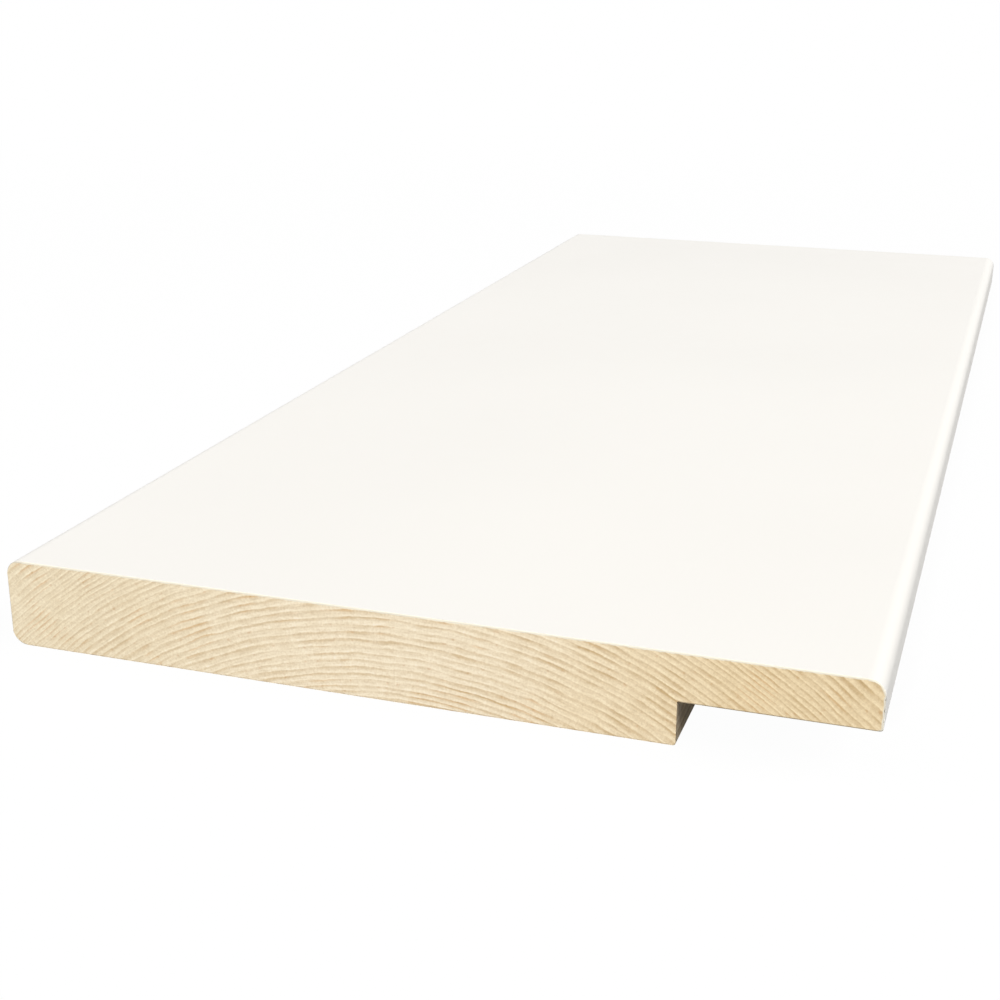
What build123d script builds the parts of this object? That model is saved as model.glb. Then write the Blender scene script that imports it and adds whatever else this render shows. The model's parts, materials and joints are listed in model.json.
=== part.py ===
"""Door lining board: one length of planed pine with a rebate along one long edge.

The board lies on its back, face up. X runs across the width, towards the lip. Y runs along
the grain, and Z runs from the back to the face. The origin is on the back, under the middle
of the board.
"""

import os

from build123d import *

# Driving dimensions, in millimetres
board_length = 400.0  # from one sawn end to the other
board_width = 170.0  # across the face, over both long edges
board_thickness = 18.0  # from the back to the face
rebate_width = 35.0  # how far the lip stands out over the door frame
rebate_depth = 8.5  # cut up into the back, so that the lip is what is left of the thickness
edge_radius = 3.0  # both corners of the plain long edge, and the lip's corner on the face
arris_radius = 0.6  # sharp corners taken off with a sanding block: rebate foot and lip underside

# Where the section's straight sides lie
plain_edge_x = -board_width / 2
lip_edge_x = board_width / 2
shoulder_x = lip_edge_x - rebate_width

# The board: its section, drawn looking along +Y, carried from end to end
with BuildPart() as lining_board:
    with BuildSketch(Plane.XZ) as section:
        with BuildLine():
            Polyline(
                (plain_edge_x, 0),
                (shoulder_x, 0),
                (shoulder_x, rebate_depth),
                (lip_edge_x, rebate_depth),
                (lip_edge_x, board_thickness),
                (plain_edge_x, board_thickness),
                close=True,
            )
        make_face()
        # A fillet redraws the face, so the corners are picked from the face as it then stands
        plain_edge_corners = section.vertices().group_by(Axis.X)[0]
        lip_face = section.vertices().sort_by_distance((lip_edge_x, board_thickness))[0]
        fillet([*plain_edge_corners, lip_face], radius=edge_radius)
        rebate_foot = section.vertices().sort_by_distance((shoulder_x, 0))[0]
        lip_underside = section.vertices().sort_by_distance((lip_edge_x, rebate_depth))[0]
        fillet([rebate_foot, lip_underside], radius=arris_radius)
    extrude(amount=board_length / 2, both=True)
lining_board.part.label = "lining_board"

os.makedirs("parts", exist_ok=True)
export_step(lining_board.part, "parts/lining_board.step")

section_area = lining_board.part.volume / board_length
print(f"lining_board: {lining_board.part.volume / 1000:.1f} cm3, section {section_area:.1f} mm2")
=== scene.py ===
# %% [markdown]
# # A door lining board in painted pine
#
# A lining board covers the raw side of a door opening. This one is a single short length of planed
# pine. Its face and both long edges are painted white, and its back, its rebate and its sawn ends are
# bare wood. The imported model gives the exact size. This lesson lays a finer surface over it, gives that
# surface two finishes, and lights it as in a studio.

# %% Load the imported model
import json
import math

import bpy
import numpy as np
from mathutils import Matrix, Vector


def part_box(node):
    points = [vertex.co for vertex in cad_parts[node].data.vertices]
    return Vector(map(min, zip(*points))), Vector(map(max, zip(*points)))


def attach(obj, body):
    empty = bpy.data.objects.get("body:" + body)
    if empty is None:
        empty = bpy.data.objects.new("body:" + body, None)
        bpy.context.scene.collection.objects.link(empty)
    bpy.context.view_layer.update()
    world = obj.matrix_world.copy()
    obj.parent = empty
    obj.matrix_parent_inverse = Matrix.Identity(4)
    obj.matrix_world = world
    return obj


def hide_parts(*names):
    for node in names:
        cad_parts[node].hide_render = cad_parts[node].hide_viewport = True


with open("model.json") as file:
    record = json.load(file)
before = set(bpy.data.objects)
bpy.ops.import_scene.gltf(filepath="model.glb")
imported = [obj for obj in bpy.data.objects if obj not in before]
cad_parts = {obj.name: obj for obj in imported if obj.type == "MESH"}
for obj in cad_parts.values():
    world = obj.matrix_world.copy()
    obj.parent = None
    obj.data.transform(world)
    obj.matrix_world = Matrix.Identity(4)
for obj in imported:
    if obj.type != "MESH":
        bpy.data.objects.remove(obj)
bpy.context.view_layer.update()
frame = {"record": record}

# %% [markdown]
# ## The section
#
# A planing machine cuts the same section from end to end: a flat board with a rebate under one edge,
# which leaves a lip that laps over the door frame. The sizes could be typed in again, but then they could
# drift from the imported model, so they are read from it. Only the small radii are named here. All lengths
# are in millimetres, as on a joiner's drawing, until the mesh is made.

# %% Read the section's sizes
MM = 1000.0  # millimetres in a metre
low, high = (np.array(corner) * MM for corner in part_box("lining_board"))
seats = {seat["name"]: np.array(seat["pos_m"]) * MM for seat in frame["record"]["mounts"]}
shoulder_x = seats["rebate_shoulder"][0]
seat_z = seats["rebate_seat"][2]
edge_radius = 3.0  # both corners of the plain edge, and the lip's corner on the face
arris_radius = 0.6  # the rebate's foot and the lip's lower corner, eased with a sanding block
print(f"section {high[0] - low[0]:.1f} x {high[2] - low[2]:.1f} mm, length {high[1] - low[1]:.1f} mm")
print(f"rebate {high[0] - shoulder_x:.1f} mm wide and {seat_z - low[2]:.1f} mm deep")


# %% Follow the section from side to side
def corner_fall(x, start, way, radius):
    """How far a rounded corner has fallen at x: the radius less the height of a quarter circle.

    The quarter circle begins at start and runs to the right where way is 1, to the left where it is -1.
    """
    run = np.clip((x - start) * way, 0.0, radius)
    return radius - np.sqrt(radius**2 - run**2)


def face_height(x):
    """The face: level, and falling by a quarter circle at each side."""
    left = corner_fall(x, low[0] + edge_radius, -1, edge_radius)
    right = corner_fall(x, high[0] - edge_radius, 1, edge_radius)
    return high[2] - left - right


def back_height(x):
    """The back: level, and rising by a quarter circle at the plain edge and at the rebate's foot."""
    left = corner_fall(x, low[0] + edge_radius, -1, edge_radius)
    right = corner_fall(x, shoulder_x - arris_radius, 1, arris_radius)
    return low[2] + left + right


def seat_height(x):
    """The rebate's seat: level, and rising by a small quarter circle at the lip's lower corner."""
    return seat_z + corner_fall(x, high[0] - arris_radius, 1, arris_radius)


print(f"the lip is {face_height(shoulder_x) - seat_height(shoulder_x):.1f} mm thick")


# %% [markdown]
# ## A grid over the sawn end
#
# The end is an L, and a grid has four sides, so the L is cut in two at the level of the rebate's seat. The
# upper grid runs the whole width, and the lower one stops at the shoulder. They share the row of points
# where they meet. An n-gon would be quicker, but it could hold neither the relief of the growth rings nor
# their age, which the wood's finish reads later.

# %% Lay out the sawn end
end_cell = 0.36  # about this far from point to point
corner_steps = 9  # straight steps in a quarter circle


def even_places(first, last):
    """Places from first to last, about one cell apart."""
    return np.linspace(first, last, round((last - first) / end_cell) + 1)


def corner_places(start, way, radius):
    """Places round a quarter circle, even in angle: start plus the radius times the angle's sine."""
    return start + way * radius * np.sin(np.linspace(0.0, np.pi / 2, corner_steps + 1))


body_x = np.unique(np.concatenate([
    corner_places(low[0] + edge_radius, -1, edge_radius),
    even_places(low[0] + edge_radius, shoulder_x - arris_radius),
    corner_places(shoulder_x - arris_radius, 1, arris_radius),
]))
lip_x = np.unique(np.concatenate([
    even_places(shoulder_x, high[0] - edge_radius),
    corner_places(high[0] - edge_radius, 1, edge_radius),
]))[1:]
all_x = np.concatenate([body_x, lip_x])


def rows_between(x, bottom, top, count):
    """A grid of (x, z): every place in x, at even shares of the way from bottom to top."""
    share = np.linspace(0.0, 1.0, count + 1)[:, None]
    z = bottom + (top - bottom) * share
    return np.stack([np.broadcast_to(x, z.shape), z], axis=-1)


upper_rows = round((high[2] - seat_z) / end_cell)
lower_rows = round((seat_z - low[2]) / end_cell)
upper = rows_between(all_x, seat_height(all_x), face_height(all_x), upper_rows)
lower = rows_between(body_x, back_height(body_x), seat_z, lower_rows)[:-1]
end_points = np.concatenate([upper.reshape(-1, 2), lower.reshape(-1, 2)])

upper_index = np.arange(upper[..., 0].size).reshape(upper.shape[:2])
lower_index = upper_index.size + np.arange(lower[..., 0].size).reshape(lower.shape[:2])
lower_index = np.vstack([lower_index, upper_index[0, : len(body_x)]])
print(f"one sawn end has {len(end_points)} points")

# %% Walk round the end's rim
rim = np.concatenate([
    lower_index[0],  # along the back, to the rebate's foot
    lower_index[1:, -1],  # up the shoulder, to the seat
    upper_index[0, len(body_x):],  # out along the underside of the lip
    upper_index[1:, -1],  # up the lip's edge
    upper_index[-1, -2::-1],  # back across the face
    upper_index[-2::-1, 0],  # down the plain edge, to the level of the seat
    lower_index[-2:0:-1, 0],  # and down to the back
])
outline = end_points[rim]
side_lengths = np.linalg.norm(np.roll(outline, -1, axis=0) - outline, axis=1)
along_rim = np.concatenate([[0.0], np.cumsum(side_lengths)])
girth = along_rim[-1]
tangent = np.roll(outline, -1, axis=0) - np.roll(outline, 1, axis=0)
tangent /= np.linalg.norm(tangent, axis=1, keepdims=True)
outward = np.stack([tangent[:, 1], -tangent[:, 0]], axis=1)
print(f"the rim has {len(rim)} points, {girth:.1f} mm round")

# %% [markdown]
# ## The tree inside the board
#
# Every surface of the board is a cut through the same tree, so its growth rings have to meet at the edges.
# One way is a picture on each side. The better one is a field in space: how many years of growth lie
# between the tree's pith and a point. The pith of this board lies well below its back and leans a little
# along it, so the ends show arches and the back shows long pointed curves. Good and bad years come in slow
# waves, so some rings are broad and some narrow, and smaller waves in space make each ring uneven.

# %% Give every point its age
pith_x, pith_z = -0.9, -83.0  # the middle of the tree, as it stands at the front end
pith_lean = np.array([0.012, 0.024])  # how far it wanders in x and z for each millimetre of length
first_ring = 64.06  # radius at which the years are counted from
mean_ring = 1.267
ring_count = 70
good_years = ((26.0, 1.015, -0.40), (16.5, 0.231, -1.28))  # years in a wave, millimetres, start of turn
uneven_growth = ((0.16, (46.0, 340.0, 46.0), 3), (0.1, (9.0, 150.0, 9.0), 5))  # reach, lengths, seed


def waves(points, lengths, seed, count=8):
    """Smooth unevenness of about -1 to 1: a sum of plane waves of the lengths given.

    Their directions and where they start are drawn from the seed.
    """
    draw = np.random.default_rng(seed)
    directions = draw.normal(size=(count, 3))
    directions /= np.linalg.norm(directions, axis=1, keepdims=True)
    turns = (points / lengths) @ directions.T + draw.uniform(size=count)
    return np.cos(2.0 * np.pi * turns).sum(axis=1) / math.sqrt(2.0 * count)


years = np.arange(ring_count)
ring_radii = first_ring + mean_ring * years
for period, reach, turn in good_years:
    ring_radii += reach * np.sin(2.0 * np.pi * years / period + turn)
print(f"the rings are {np.diff(ring_radii).min():.2f} to {np.diff(ring_radii).max():.2f} mm wide")


def age_at(points):
    """Years of growth at (x, y, z): the distance from the leaning pith, made uneven, read off the radii."""
    lean = (points[:, 1:2] - low[1]) * pith_lean
    across = points[:, 0] - pith_x - lean[:, 0]
    up = points[:, 2] - pith_z - lean[:, 1]
    radius = np.hypot(across, up)
    for reach, lengths, seed in uneven_growth:
        radius += reach * waves(points, lengths, seed)
    return np.interp(radius, ring_radii, years)


late_start, late_climb, late_drop = 0.35, 0.5, 0.12  # shares of a year


def latewood(age):
    """How dense the wood is at an age: it climbs through each year and drops at the year's end."""
    phase = age % 1.0
    climb = np.clip((phase - late_start) / late_climb, 0.0, 1.0)
    drop = np.clip((1.0 - phase) / late_drop, 0.0, 1.0)
    return climb**2 * drop


# %% [markdown]
# ## One closed skin
#
# The board's sides are the rim carried along its length, and the two sawn ends close it. A crosscut saw
# leaves a very fine broken edge all round, so the ends are drawn in a little at the rim and joined to
# the sides by a narrow slope, a little wider where a fibre has come away. It is widest underneath, where
# the saw comes out and nothing backs the fibres. On the ends, the hard late wood of each year stands a
# few hundredths of a millimetre proud of the soft early wood.

# %% Place the points
ring_relief = 0.025
saw_break = 0.1  # how wide the broken edge is
break_below = 0.2  # how much wider it is underneath
chip = 0.05  # how much wider it gets where fibres have come away
section_count = 33
edge_draw = np.random.default_rng(21)
rim_break = saw_break + break_below * np.clip(-outward[:, 1], 0.0, 1.0)


def sawn_end(y, inward):
    """An end as (x, y, z): the end grid drawn in at its rim, and sunk where the wood is soft."""
    flat = end_points.copy()
    broken = rim_break + chip * edge_draw.uniform(size=len(rim)) ** 3
    flat[rim] -= broken[:, None] * outward
    points = np.stack([flat[:, 0], np.full(len(flat), y), flat[:, 1]], axis=1)
    points[:, 1] += inward * ring_relief * (1.0 - latewood(age_at(points)))
    return points


section_y = np.linspace(low[1] + rim_break, high[1] - rim_break, section_count)
sides = np.empty((section_count, len(rim), 3))
sides[..., 0] = outline[:, 0]
sides[..., 1] = section_y
sides[..., 2] = outline[:, 1]
front_end = sawn_end(low[1], 1.0)
rear_end = sawn_end(high[1], -1.0)
points = np.concatenate([front_end, rear_end, sides.reshape(-1, 3)])
print(f"the skin has {len(points)} points")


# %% Join them into faces
def cells(index):
    """The four corners of each cell of an index grid, in order."""
    corners = [index[:-1, :-1], index[:-1, 1:], index[1:, 1:], index[1:, :-1]]
    return np.stack(corners, axis=-1).reshape(-1, 4)


end_count = len(end_points)
side_index = 2 * end_count + np.arange(section_count * len(rim)).reshape(section_count, len(rim))
side_index = np.vstack([rim, side_index, end_count + rim])
side_index = np.hstack([side_index, side_index[:, :1]])
end_faces = np.concatenate([cells(upper_index), cells(lower_index)])
side_faces = cells(side_index)[:, ::-1]
faces = np.concatenate([end_faces, (end_faces + end_count)[:, ::-1], side_faces])
print(f"{len(faces)} faces, which is {2 * len(faces)} triangles")

# %% [markdown]
# ## Where paint ends and bare wood begins
#
# The maker's spray line coats the face and both long edges, and a little mist drifts round the corners.
# On the sawn ends, the film and the fibres that soaked it up show as a thin white border. So each side of
# the rim is either painted or bare, and every bare point remembers how far it lies from the paint. Two
# materials by face keep the finishes apart, and the distance draws the border and lets the mist fade out.

# %% Sort the sides and measure the bare band
FINISH_PAINT, FINISH_BARE = 0, 1


def is_painted(x, z):
    """True on the face, on the plain edge with both its corners, and on the lip's edge with its corners."""
    return (x < low[0] + edge_radius) | (z > high[2] - edge_radius) | (x > high[0] - arris_radius)


middles = (outline + np.roll(outline, -1, axis=0)) / 2.0
rim_finish = np.where(is_painted(middles[:, 0], middles[:, 1]), FINISH_PAINT, FINISH_BARE)
side_finish = np.tile(rim_finish, (section_count + 1, 1))
side_finish[[0, -1]] = FINISH_BARE
face_finish = np.concatenate([np.full(2 * len(end_faces), FINISH_BARE), side_finish.ravel()])

bare_sides = np.flatnonzero(rim_finish == FINISH_BARE)
bare_from = along_rim[bare_sides[0]]
bare_to = along_rim[bare_sides[-1] + 1]
rim_bare = np.maximum(np.minimum(along_rim[:-1] - bare_from, bare_to - along_rim[:-1]), 0.0)
painted_rim = outline[rim_bare == 0.0]


def from_paint(end):
    """How far each point of an end lies from the nearest painted point of the rim."""
    gaps = end[:, None, [0, 2]] - painted_rim
    return np.linalg.norm(gaps, axis=2).min(axis=1)


point_bare = np.concatenate([from_paint(front_end), from_paint(rear_end), np.tile(rim_bare, section_count)])
bare_girth = bare_to - bare_from
print(f"{bare_girth:.1f} mm of the rim is bare, and {girth - bare_girth:.1f} mm is painted")

# %% [markdown]
# ## A map for the finishes
#
# If the finishes are ever saved as pictures, each face needs a place on a square map. An automatic unwrap
# would scatter the ends. Here the sides are rolled out flat across most of the square, and the two ends lie
# in strips above them at more than twice the scale, because the growth rings are the finest thing to be
# seen.

# %% Unroll the skin
map_left, map_right = 0.006, 0.994  # shares of the square map
side_bottom, side_top = 0.006, 0.752
end_bottoms = (0.768, 0.884)
break_share = 0.002  # of the map's height, for the narrow broken edge

side_u = map_left + (map_right - map_left) * along_rim / girth
side_v = np.linspace(side_bottom + break_share, side_top - break_share, section_count)
side_v = np.concatenate([[side_bottom], side_v, [side_top]])
side_map = np.stack(np.meshgrid(side_u, side_v), axis=-1).reshape(-1, 2)
end_scale = (map_right - map_left) / (high[0] - low[0])
end_maps = [
    np.array([map_left, bottom]) + (end_points - [low[0], low[2]]) * end_scale
    for bottom in end_bottoms
]
map_points = np.concatenate([*end_maps, side_map])
side_map_index = 2 * end_count + np.arange(len(side_map)).reshape(len(side_v), len(side_u))
side_map_faces = cells(side_map_index)[:, ::-1]
map_faces = np.concatenate([end_faces, (end_faces + end_count)[:, ::-1], side_map_faces])
print(f"the sides take {len(side_map)} places on the map, and each end {end_count}")

# %% [markdown]
# ## The mesh
#
# The points and faces go into one mesh, with each face's finish, the map, and two numbers that the
# finishes read: the age of the wood and the distance from the paint. Modifiers could round the edges of a
# plain box instead, but the arrays already hold the true section. Shading is smooth, except across edges
# that are sharper than the steps of a rounded corner.

# %% Make the mesh
sharp_edge = math.radians(30)  # a rounded corner turns by 10 degrees a step, a sawn edge by more than 30
mesh = bpy.data.meshes.new("lining_board_skin")
mesh.from_pydata((points / MM).tolist(), [], faces.tolist())
mesh.polygons.foreach_set("use_smooth", np.ones(len(faces), dtype=bool))
mesh.polygons.foreach_set("material_index", face_finish.astype(np.int32))
mesh.uv_layers.new(name="OFBake").uv.foreach_set("vector", map_points[map_faces].astype(np.float32).ravel())
for name, values in (("age", age_at(points)), ("bare", point_bare)):
    mesh.attributes.new(name, "FLOAT", "POINT").data.foreach_set("value", values.astype(np.float32))
mesh.set_sharp_from_angle(angle=sharp_edge)
print("mesh needed mending:", mesh.validate())

board = bpy.data.objects.new("lining_board_skin", mesh)
bpy.context.scene.collection.objects.link(board)
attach(board, "root")
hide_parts("lining_board")

# %% [markdown]
# ## Small tools for node trees
#
# A finish in Blender is a graph of nodes. Building it by hand with the mouse would work, but it couldn't be
# read here. These helpers each add one node and return its output, so that a finish reads like a formula.


# %% Node helpers
def srgb(red, green, blue):
    """A colour as a paint card gives it, 0 to 255, turned into the linear light that shaders add up."""
    share = np.array([red, green, blue]) / 255.0
    linear = np.where(share <= 0.04045, share / 12.92, ((share + 0.055) / 1.055) ** 2.4)
    return (*linear.tolist(), 1.0)


def wire(tree, socket, value):
    """Sets a socket to a number or colour, or links it to another node's output."""
    if isinstance(value, bpy.types.NodeSocket):
        tree.links.new(value, socket)
    else:
        socket.default_value = value


def calc(tree, operation, *values):
    """One Math node: an operation on numbers or outputs."""
    made = tree.nodes.new("ShaderNodeMath")
    made.operation = operation
    for socket, value in zip(made.inputs, values):
        wire(tree, socket, value)
    return made.outputs[0]


def span(tree, value, start, end, first=0.0, last=1.0):
    """One Map Range node: eases from first to last while the value goes from start to end."""
    made = tree.nodes.new("ShaderNodeMapRange")
    made.interpolation_type = "SMOOTHSTEP"
    names = ("Value", "From Min", "From Max", "To Min", "To Max")
    for name, setting in zip(names, (value, start, end, first, last)):
        wire(tree, made.inputs[name], setting)
    return made.outputs["Result"]


def blend(tree, share, first, second, way="MIX"):
    """One colour Mix node: first where the share is 0, second where it is 1."""
    made = tree.nodes.new("ShaderNodeMix")
    made.data_type = "RGBA"
    made.blend_type = way
    colour_sockets = (made.inputs[0], made.inputs[6], made.inputs[7])  # those between are for other types
    for socket, value in zip(colour_sockets, (share, first, second)):
        wire(tree, socket, value)
    return made.outputs[2]


def noise(tree, place, scale, detail=2.0, roughness=0.5):
    """One Noise node, about 0 to 1 around a half. The scale is patches for each unit of the place given."""
    made = tree.nodes.new("ShaderNodeTexNoise")
    for name, value in (("Vector", place), ("Scale", scale), ("Detail", detail), ("Roughness", roughness)):
        wire(tree, made.inputs[name], value)
    return made.outputs[0]


def attribute(tree, name):
    """One Attribute node: a number that each point of the mesh carries."""
    made = tree.nodes.new("ShaderNodeAttribute")
    made.attribute_name = name
    return made.outputs["Fac"]


def place_in_mm(tree, along_grain=1.0):
    """The place on the object in millimetres, with the direction of the grain shrunk by a share."""
    where = tree.nodes.new("ShaderNodeTexCoord")
    made = tree.nodes.new("ShaderNodeMapping")
    tree.links.new(where.outputs["Object"], made.inputs["Vector"])
    made.inputs["Scale"].default_value = (MM, MM * along_grain, MM)
    return made.outputs["Vector"]


def axes(tree, place):
    """The three numbers of a place."""
    made = tree.nodes.new("ShaderNodeSeparateXYZ")
    tree.links.new(place, made.inputs[0])
    return made.outputs


def new_finish(name):
    """An empty material with its shader: returns the material, its tree and the Principled node."""
    material = bpy.data.materials.new(name)
    material.use_nodes = True
    tree = material.node_tree
    return material, tree, tree.nodes["Principled BSDF"]


def bump(tree, height, distance):
    """One Bump node: a height of 1 stands that many millimetres proud."""
    made = tree.nodes.new("ShaderNodeBump")
    made.inputs["Strength"].default_value = 1.0
    made.inputs["Distance"].default_value = distance / MM
    tree.links.new(height, made.inputs["Height"])
    return made.outputs["Normal"]


# %% [markdown]
# ## Growth rings as nodes
#
# Both finishes need the rings: bare wood for its colour, and paint because hard late wood shows through it
# as faint ridges. The age on the mesh gives the year and how much of it has passed. Noise shakes the
# lines, and each year draws its own depth of colour and its own start of late wood. The noise is laid out
# on the rings as if they were unrolled flat, so that each line can wander without its neighbours.

# %% Unroll the rings
rolled_radius = 105.0  # about the mean distance from the pith to the board
grain_share = 0.02  # how fast things change along the grain, where across it is 1


def unrolled_noise(tree, place, along_ring, across_ring):
    """Noise on the rings unrolled about the pith: patches for each millimetre along, and year across."""
    x, y, z = axes(tree, place)
    angle = calc(tree, "ARCTAN2", calc(tree, "SUBTRACT", x, pith_x), calc(tree, "SUBTRACT", z, pith_z))
    made = tree.nodes.new("ShaderNodeCombineXYZ")
    wire(tree, made.inputs[0], calc(tree, "MULTIPLY", angle, rolled_radius * along_ring))
    wire(tree, made.inputs[1], calc(tree, "MULTIPLY", attribute(tree, "age"), across_ring))
    wire(tree, made.inputs[2], calc(tree, "MULTIPLY", y, grain_share))
    return noise(tree, made.outputs[0], scale=1.0)


def centred(tree, value, reach):
    """A number from 0 to 1 turned into one about nought: the reach times how far it is from a half."""
    return calc(tree, "MULTIPLY_ADD", value, reach, -reach / 2.0)


# %% Rings from the age
year_draw = 169.0  # which of the shader's draws the first year takes
slow_shake, fine_shake = 0.6, 0.24  # years
late_from, late_range = 0.1, 0.3  # shares of a year: the first start of late wood, and how starts differ
late_full, late_end = 0.88, 0.84  # where late wood is fully dark, and where it begins to drop
spring_end = 0.4


def ring_nodes(tree, place):
    """Late wood and the first pale wood of spring, 0 to 1, and three random numbers of the year."""
    slow = unrolled_noise(tree, place, along_ring=0.13, across_ring=0.7)
    fine = unrolled_noise(tree, place, along_ring=0.9, across_ring=1.6)
    shake = calc(tree, "ADD", centred(tree, slow, slow_shake), centred(tree, fine, fine_shake))
    age = calc(tree, "ADD", attribute(tree, "age"), shake)
    phase = calc(tree, "FRACT", age)
    year = tree.nodes.new("ShaderNodeTexWhiteNoise")
    year.noise_dimensions = "1D"
    tree.links.new(calc(tree, "ADD", calc(tree, "FLOOR", age), year_draw), year.inputs["W"])
    chances = axes(tree, year.outputs["Color"])
    start = calc(tree, "MULTIPLY_ADD", chances[0], late_range, late_from)
    climb = span(tree, phase, start, late_full)
    drop = span(tree, phase, late_end, 1.0, 1.0, 0.0)
    spring = span(tree, phase, 0.0, spring_end, 1.0, 0.0)
    return calc(tree, "MULTIPLY", climb, drop), spring, chances


# %% [markdown]
# ## The colour of pine
#
# Pine shows cream early wood with thin tan lines of late wood. Some lines are rich in resin and turn
# orange. Towards the lip the wood gets warmer and its lines bolder, and towards the plain edge it gets
# duller and its lines fade. Finer still are the dots of resin canals, the mottle of cut fibres, and the
# rays that run out from the pith. One picture could hold them all, but a layer of nodes for each can be
# read and changed by itself. Where wood is darker its colour is deeper too, so the layers multiply by a
# tint and not by a grey.

# %% Colours
early_pale = srgb(245, 229, 200)
early_warm = srgb(237, 215, 175)
early_dull = srgb(239, 223, 192)
late_pale = srgb(204, 174, 128)
late_warm = srgb(197, 166, 118)
resin = srgb(216, 170, 112)
canal_brown = srgb(200, 150, 96)
brightest_wood = (0.98, 0.87, 0.73, 1.0)
tint_steps = np.array([0.4, 0.5, 0.64])  # how far a tint of strength 1 moves red, green and blue
print(f"late wood throws back {late_pale[1] / early_pale[1]:.2f} of the green light that early wood does")


def tinted(tree, colour, share, strength):
    """The colour made paler where the share is above a half, and darker and deeper where it is below."""
    steps = tint_steps * strength
    dark = (*(1.0 - steps).tolist(), 1.0)
    light = (*(1.0 + steps).tolist(), 1.0)
    return blend(tree, 1.0, colour, blend(tree, share, dark, light), "MULTIPLY")


# %% Depth of the lines
usual_noise = (0.3, 0.7)  # most of a noise lies between these
year_depths = (0.45, 0.27)  # how much the years differ in depth, and the least depth
patch_depths = (0.42, 1.34)  # in the weakest patch and in the strongest
bolder_to_lip = (-60.0, 55.0, 0.68, 1.16)  # from x, to x, and the depth at each
calmer_lip = (40.0, 65.0, 0.0, 0.08)
faint_edge = (-86.0, -66.0, 0.35, 1.0)


def line_depth(tree, x, fibre, chance):
    """How deep a line's colour is: the year's own depth, times slow patches, times the ramps across."""
    depth = calc(tree, "MULTIPLY_ADD", chance, *year_depths)
    patch = span(tree, noise(tree, fibre, scale=0.17, detail=3.0), *usual_noise, *patch_depths)
    boldness = calc(tree, "SUBTRACT", span(tree, x, *bolder_to_lip), span(tree, x, *calmer_lip))
    boldness = calc(tree, "MULTIPLY", boldness, span(tree, x, *faint_edge))
    return calc(tree, "MULTIPLY", calc(tree, "MULTIPLY", depth, patch), boldness)


# %% Early wood, late wood and resin
warmer_to_lip = (5.0, 70.0)  # from x, to x
paler_from_edge = (-72.0, -10.0)
warmth_drift = 0.6
resin_patches = (0.54, 0.72, 0.0, 0.55)  # from noise, to noise, and the share of resin at each
canal_dots = (0.7, 0.85, 0.0, 0.4)
resin_power = 3.0  # keeps the resin to the darkest part of a line
spring_paleness = 0.1


def wood_colour(tree, x, fibre, rings):
    """Early wood blended into late wood by the lines, then into resin, and dotted with resin canals."""
    late, spring, chances = rings
    line = calc(tree, "MULTIPLY", late, line_depth(tree, x, fibre, chances[1]))
    drift = centred(tree, noise(tree, fibre, scale=0.05), warmth_drift)
    warmth = calc(tree, "ADD", span(tree, x, *warmer_to_lip), drift)
    pale = blend(tree, span(tree, x, *paler_from_edge), early_dull, early_pale)
    early = blend(tree, warmth, pale, early_warm)
    dark = blend(tree, warmth, late_pale, late_warm)
    colour = blend(tree, line, early, dark)
    rich = span(tree, noise(tree, fibre, scale=0.13, detail=1.0), *resin_patches)
    rich = calc(tree, "MULTIPLY", rich, calc(tree, "POWER", late, resin_power))
    colour = blend(tree, rich, colour, resin)
    colour = tinted(tree, colour, calc(tree, "MULTIPLY_ADD", spring, 0.5, 0.5), spring_paleness)
    canals = span(tree, noise(tree, fibre, scale=1.1, detail=0.0), *canal_dots)
    return blend(tree, calc(tree, "MULTIPLY", canals, late), colour, canal_brown)


# %% Mottle, rays and bands
mottle, rays, bands = 0.6, 0.13, 0.46  # strength of each tint


def fine_layers(tree, colour, place, fibre):
    """The colour tinted by cut fibres, by rays across the rings and by bands along them."""
    cut_fibres = noise(tree, fibre, scale=2.2, detail=3.0, roughness=0.75)
    colour = tinted(tree, colour, cut_fibres, mottle)
    colour = tinted(tree, colour, unrolled_noise(tree, place, along_ring=2.2, across_ring=0.26), rays)
    colour = tinted(tree, colour, unrolled_noise(tree, place, along_ring=0.28, across_ring=3.2), bands)
    return blend(tree, 1.0, colour, brightest_wood, "DARKEN")


# %% [markdown]
# ## Paint on the bare wood
#
# Spray doesn't stop at a line. On the back a mist of it fades out over the first millimetres, and in the
# rebate it hangs as a thin veil. Round the sawn ends lies a border of film. It is cream and wider along the
# face and the lip, where fibres soaked the paint up. Along the plain edge it is narrow and grey, and that
# grey is painted shade. A mask painted by hand would do, but the distance from the paint is on the mesh
# already, so noise only has to say where mist and film end.

# %% Mist on the sides
paint_white = (0.9, 0.876, 0.828, 1.0)
mist_reach = (3.4, -0.9)  # millimetres: how much the reach differs, and the least reach
mist_fade = (-0.6, 0.5, 1.0, 0.0)  # millimetres past the reach, from and to, and the mist at each
veil_shares = (0.1, 0.3)
veil_from, veil_full = shoulder_x - 0.3, shoulder_x - 0.05


def mist_share(tree, x, place, bare):
    """How much mist lies on a side: all at the paint, none past an uneven reach, a veil in the rebate."""
    uneven = noise(tree, place, scale=0.5, detail=3.0, roughness=0.6)
    past_reach = calc(tree, "SUBTRACT", bare, calc(tree, "MULTIPLY_ADD", uneven, *mist_reach))
    mist = span(tree, past_reach, *mist_fade)
    veil = span(tree, noise(tree, place, scale=0.35, detail=3.0), *usual_noise, *veil_shares)
    veil = calc(tree, "MULTIPLY", span(tree, x, veil_from, veil_full), veil)
    return calc(tree, "MAXIMUM", mist, veil)


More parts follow.
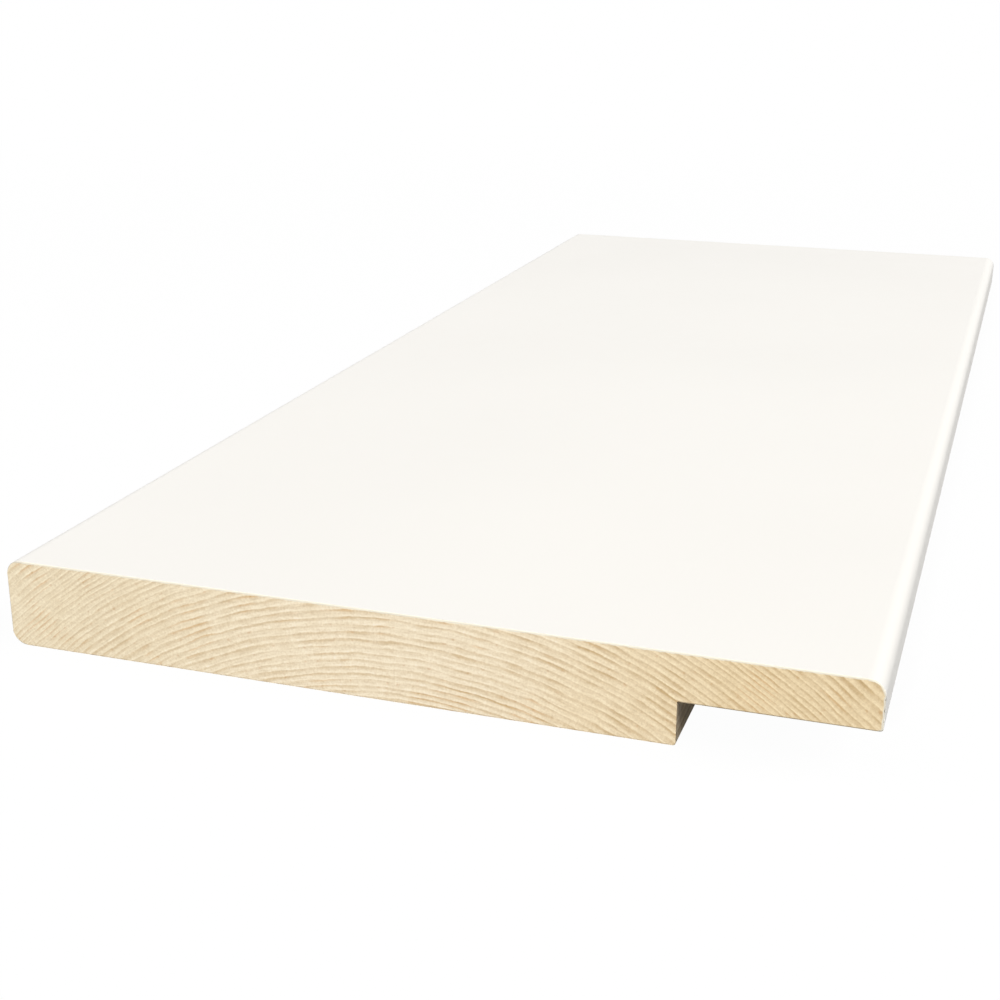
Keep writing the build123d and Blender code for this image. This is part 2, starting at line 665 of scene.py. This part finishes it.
# %% Film round the ends
soaked_paint = (0.9, 0.845, 0.7, 1.0)
# painted shade: the grey of the film border along the plain edge of the sawn ends
film_in_painted_shade = (0.56, 0.53, 0.48, 1.0)
film_edge = 0.37  # how wide the border is along the face
film_uneven = 0.5  # how much the width differs
film_blur = 0.1
narrow_film = 0.35  # share of the width that is left where the border is grey with painted shade
lip_light = (high[0] - 3.0, high[0] - 1.0, 0.0, 0.75)  # from x, to x, and the share of lit cream rather than painted shade at each
plain_light = (low[0], low[0] + 5.0)
face_light = (high[2] - 7.0, high[2] - 1.0)  # from z, to z


def end_film(tree, place, bare):
    """The film's share, which ends at an uneven distance from the paint, and its colour: cream where lit,
    grey with painted shade along the plain edge.
    """
    x, _, z = axes(tree, place)
    on_face = calc(tree, "MULTIPLY", span(tree, x, *plain_light), span(tree, z, *face_light))
    # cream is 1 where the border is lit, along the face and the lip, and 0 where it takes the grey of
    # painted shade
    cream = calc(tree, "MAXIMUM", on_face, span(tree, x, *lip_light))
    uneven = noise(tree, place, scale=0.7, detail=3.0, roughness=0.7)
    reach = calc(tree, "MULTIPLY_ADD", uneven, film_uneven, film_edge - film_uneven / 2.0)
    reach = calc(tree, "MULTIPLY", reach, span(tree, cream, 0.0, 1.0, narrow_film, 1.0))
    film = span(tree, calc(tree, "SUBTRACT", bare, reach), -film_blur, film_blur, 1.0, 0.0)
    return film, blend(tree, cream, film_in_painted_shade, soaked_paint)


# %% [markdown]
# ## Bare pine
#
# The layers come together here. Planed wood is rather matt, and late wood a little less so. Its long sides
# carry the shallow waves of a planer's knives and the ridges of late wood. On the sawn ends the mesh has
# those ridges itself, so there the nodes add only the roughness of cut fibres.

# %% Bare pine
end_from, end_full = high[1] - 0.5, high[1] - 0.2
wood_roughness = (0.68, 0.55)  # of early wood and of late wood
wood_specular = 0.25
fine_relief = 0.012  # millimetres, on wood and on paint
planer_step = 1.7  # millimetres from one wave to the next
planer_depth = 0.08  # share of the fine relief


def planed_height(tree, y, fibre, late, on_side):
    """Relief of the wood: noise for the fibres, and on the sides late wood and the sine of the planer."""
    planer = calc(tree, "SINE", calc(tree, "MULTIPLY", y, 2.0 * math.pi / planer_step))
    planer = calc(tree, "MULTIPLY", calc(tree, "MULTIPLY", planer, planer_depth), on_side)
    fibres = noise(tree, fibre, scale=3.0, detail=3.0, roughness=0.6)
    height = calc(tree, "ADD", calc(tree, "MULTIPLY", late, on_side), fibres)
    return calc(tree, "ADD", height, planer)


def bare_pine():
    """Planed pine, with mist from the paint along its borders and a film of paint round its ends."""
    material, tree, shader = new_finish("bare_pine")
    place = place_in_mm(tree)
    fibre = place_in_mm(tree, grain_share)
    x, y, _ = axes(tree, place)
    rings = ring_nodes(tree, place)
    late = rings[0]
    bare = attribute(tree, "bare")
    on_end = span(tree, calc(tree, "ABSOLUTE", y), end_from, end_full)
    on_side = calc(tree, "SUBTRACT", 1.0, on_end)

    colour = fine_layers(tree, wood_colour(tree, x, fibre, rings), place, fibre)
    mist = calc(tree, "MULTIPLY", mist_share(tree, x, place, bare), on_side)
    colour = blend(tree, mist, colour, paint_white)
    film, film_colour = end_film(tree, place, bare)
    colour = blend(tree, calc(tree, "MULTIPLY", film, on_end), colour, film_colour)
    wire(tree, shader.inputs["Base Color"], colour)
    wire(tree, shader.inputs["Roughness"], span(tree, late, 0.0, 1.0, *wood_roughness))
    shader.inputs["Specular IOR Level"].default_value = wood_specular
    height = planed_height(tree, y, fibre, late, on_side)
    wire(tree, shader.inputs["Normal"], bump(tree, height, fine_relief))
    return material


# %% [markdown]
# ## Satin white paint
#
# Sprayed paint is never quite flat: it sets with a fine skin like orange peel, and the late wood under it
# shows as very faint ridges. Along the sawn ends the film breaks in small chips. The colour is a warm
# white with the slightest drift, and the sheen is satin, so its roughness is near the middle.

# %% Satin white paint
paint_drift = (0.985, 1.0)
chip_reach = (1.0, -0.62)  # millimetres from a sawn end: how much the reach differs, and the least reach
chip_blur = 0.05
satin = (0.1, 0.32)  # how much the roughness differs, and the least roughness
ridge_share = 0.35  # how far late wood stands out, where the orange peel is 1


def satin_paint():
    """Warm white satin paint, with orange peel, a trace of the grain and chips at the sawn ends."""
    material, tree, shader = new_finish("satin_white_paint")
    place = place_in_mm(tree)
    late = ring_nodes(tree, place)[0]

    drift = span(tree, noise(tree, place, scale=0.012, detail=1.0), *usual_noise, *paint_drift)
    colour = blend(tree, 1.0, paint_white, drift, "MULTIPLY")
    from_end = calc(tree, "SUBTRACT", high[1], calc(tree, "ABSOLUTE", axes(tree, place)[1]))
    uneven = noise(tree, place, scale=1.1, detail=3.0, roughness=0.7)
    past_chip = calc(tree, "SUBTRACT", from_end, calc(tree, "MULTIPLY_ADD", uneven, *chip_reach))
    chipped = span(tree, past_chip, -chip_blur, chip_blur, 1.0, 0.0)
    wire(tree, shader.inputs["Base Color"], blend(tree, chipped, colour, early_warm))

    roughness = calc(tree, "MULTIPLY_ADD", noise(tree, place, scale=0.15), *satin)
    wire(tree, shader.inputs["Roughness"], roughness)
    peel = calc(tree, "ADD", noise(tree, place, scale=0.9), calc(tree, "MULTIPLY", late, ridge_share))
    wire(tree, shader.inputs["Normal"], bump(tree, peel, fine_relief))
    return material


mesh.materials.append(satin_paint())
mesh.materials.append(bare_pine())
for material in mesh.materials:
    print(material.name, "has", len(material.node_tree.nodes), "nodes")

# %% [markdown]
# ## The floor
#
# The board lies on a plain white floor. For the camera most of the floor's light is its own, at a strength
# of one, which is white, so the picture's ground stays clean. The rest is lit by the lamps, so that the
# board's soft shadow still falls on it near by. Light that is thrown back up meets a pale floor on the
# left and behind, which lifts the sides that no lamp faces. In front and on the right it meets a dark
# card, as a photographer would lay there, which keeps the rebate dark. Reflections close to the board show
# a lit grey floor, so that the lower half of the lip's gloss is dull.

# %% Floor
floor_reach = 6.0  # metres from the middle of the board, as the next ones are
mirror_reach = 0.5  # how far out reflections meet a lit grey floor
shadow_from, shadow_to = 0.3, 0.8  # over which the shadow fades
shadow_share = 0.032  # how much of the floor's light comes from the lamps, close to the board
floor_white = (0.96, 0.96, 0.96, 1.0)
card_grey, floor_grey = 0.12, 0.85  # how pale the card and the floor are to light that they throw back up
mirrored = 0.64  # how pale the floor is to reflections close by


def camera_sees(tree):
    """1 for rays that show the ground itself: from the camera, off a gloss or through glass."""
    path = tree.nodes.new("ShaderNodeLightPath")
    seen = calc(tree, "MAXIMUM", path.outputs["Is Camera Ray"], path.outputs["Is Glossy Ray"])
    return calc(tree, "MAXIMUM", seen, path.outputs["Is Transmission Ray"])


def mix_shaders(tree, share, first, second):
    """One Mix Shader node: first where the share is 0, second where it is 1."""
    made = tree.nodes.new("ShaderNodeMixShader")
    for socket, value in zip(made.inputs, (share, first, second)):
        wire(tree, socket, value)
    return made.outputs[0]


def floor_finish():
    """White that glows for the camera, and takes a light shadow near the board."""
    material = bpy.data.materials.new("studio_floor")
    material.use_nodes = True
    tree = material.node_tree
    tree.nodes.remove(tree.nodes["Principled BSDF"])
    where = tree.nodes.new("ShaderNodeTexCoord")
    away = tree.nodes.new("ShaderNodeVectorMath")
    away.operation = "LENGTH"
    tree.links.new(where.outputs["Object"], away.inputs[0])
    path = tree.nodes.new("ShaderNodeLightPath")
    close_gloss = calc(tree, "MULTIPLY", path.outputs["Is Glossy Ray"],
                       calc(tree, "LESS_THAN", away.outputs["Value"], mirror_reach))

    lit = tree.nodes.new("ShaderNodeBsdfDiffuse")
    lit.inputs["Color"].default_value = floor_white
    glow = tree.nodes.new("ShaderNodeEmission")
    near = span(tree, away.outputs["Value"], shadow_from, shadow_to, shadow_share, 0.0)
    shown = mix_shaders(tree, near, glow.outputs[0], lit.outputs[0])
    x, y, _ = axes(tree, where.outputs["Object"])
    no_card = calc(tree, "MULTIPLY", calc(tree, "LESS_THAN", x, shoulder_x / MM),
                   calc(tree, "GREATER_THAN", y, low[1] / MM))
    thrown = calc(tree, "MULTIPLY_ADD", no_card, floor_grey - card_grey, card_grey)
    paleness = calc(tree, "MULTIPLY_ADD", close_gloss, calc(tree, "SUBTRACT", mirrored, thrown), thrown)
    grey = tree.nodes.new("ShaderNodeBsdfDiffuse")
    wire(tree, grey.inputs["Color"], paleness)
    seen = calc(tree, "SUBTRACT", camera_sees(tree), close_gloss)
    surface = mix_shaders(tree, seen, grey.outputs[0], shown)
    tree.links.new(surface, tree.nodes["Material Output"].inputs["Surface"])
    return material


floor_corners = np.array([[-1, -1, 0], [1, -1, 0], [1, 1, 0], [-1, 1, 0]]) * floor_reach
floor_mesh = bpy.data.meshes.new("floor")
floor_mesh.from_pydata(floor_corners.tolist(), [], [[0, 1, 2, 3]])
floor_mesh.materials.append(floor_finish())
floor = bpy.data.objects.new("floor", floor_mesh)
bpy.context.scene.collection.objects.link(floor)
print(f"the floor reaches {floor_reach:.0f} m to each side")

# %% [markdown]
# ## Light
#
# One small softbox stands in front of the board. Two larger ones stand high up on the right, a strong one
# beside the board and a weaker one nearer to the camera, and a weak one stands on the left. A white room
# fills in between them. The face and the sawn end then come out about as bright as their colours are
# written. The lip's rounded corner faces the strong softbox and shines, and its edge below comes out
# darker. The softboxes stand far off, so the light hardly falls from the near end to the far one. The lip
# keeps them out of the rebate, apart from a little light on the foot of its near end.

# %% Light the board
room_fill = 0.17
white = (1.0, 1.0, 1.0, 1.0)


def softbox(name, place, size, watts):
    """A square lamp that faces the middle of the board."""
    lamp = bpy.data.lights.new(name, "AREA")
    lamp.size = size
    lamp.energy = watts
    stand = bpy.data.objects.new(name, lamp)
    stand.location = place
    stand.rotation_euler = (-Vector(place)).to_track_quat("-Z", "Y").to_euler()
    bpy.context.scene.collection.objects.link(stand)
    print(f"{name}: {watts} W, {Vector(place).length:.2f} m away")


softbox("front_softbox", place=(-0.08, -3.6, 1.45), size=0.26, watts=104.0)
softbox("side_softbox", place=(3.1, 0.6, 2.6), size=1.87, watts=95.5)
softbox("right_softbox", place=(2.2, -1.4, 2.6), size=1.4, watts=30.0)
softbox("left_softbox", place=(-1.5, -0.3, 1.6), size=1.6, watts=8.2)

world = bpy.data.worlds.new("white_room")
bpy.context.scene.world = world
world.use_nodes = True
tree = world.node_tree
fill = tree.nodes["Background"]
fill.inputs["Color"].default_value = white
fill.inputs["Strength"].default_value = room_fill
seen = tree.nodes.new("ShaderNodeBackground")
seen.inputs["Color"].default_value = white
shown = mix_shaders(tree, camera_sees(tree), fill.outputs[0], seen.outputs[0])
tree.links.new(shown, tree.nodes["World Output"].inputs["Surface"])
bpy.context.scene.view_settings.view_transform = "Standard"

# %% [markdown]
# ## The camera
#
# The picture was taken from just in front of the near end, a hand's breadth above the board, looking along
# it and a little to the left. The lens is a normal one. Where the camera stands was worked out from the
# board's straight edges, whose real lengths are known.

# %% Place the camera
camera_place = Vector((0.1010, -0.4475, 0.1323))
camera_yaw = math.radians(-18.63)  # turned to the left of straight along the board
camera_pitch = math.radians(19.08)  # tipped down
camera_roll = math.radians(-0.13)
sensor_width, focal_length = 36.0, 57.7  # millimetres
nearest_seen = 0.01  # metres

lens = bpy.data.cameras.new("camera")
lens.sensor_width = sensor_width
lens.lens = focal_length
lens.clip_start = nearest_seen
camera = bpy.data.objects.new("camera", lens)
level = math.cos(camera_pitch)
ahead = Vector((math.sin(camera_yaw) * level, math.cos(camera_yaw) * level, -math.sin(camera_pitch)))
turn = ahead.to_track_quat("-Z", "Y").to_matrix() @ Matrix.Rotation(-camera_roll, 3, "Z")
camera.matrix_world = Matrix.Translation(camera_place) @ turn.to_4x4()
bpy.context.scene.collection.objects.link(camera)
bpy.context.scene.camera = camera
print("the camera looks along", [round(value, 3) for value in ahead])
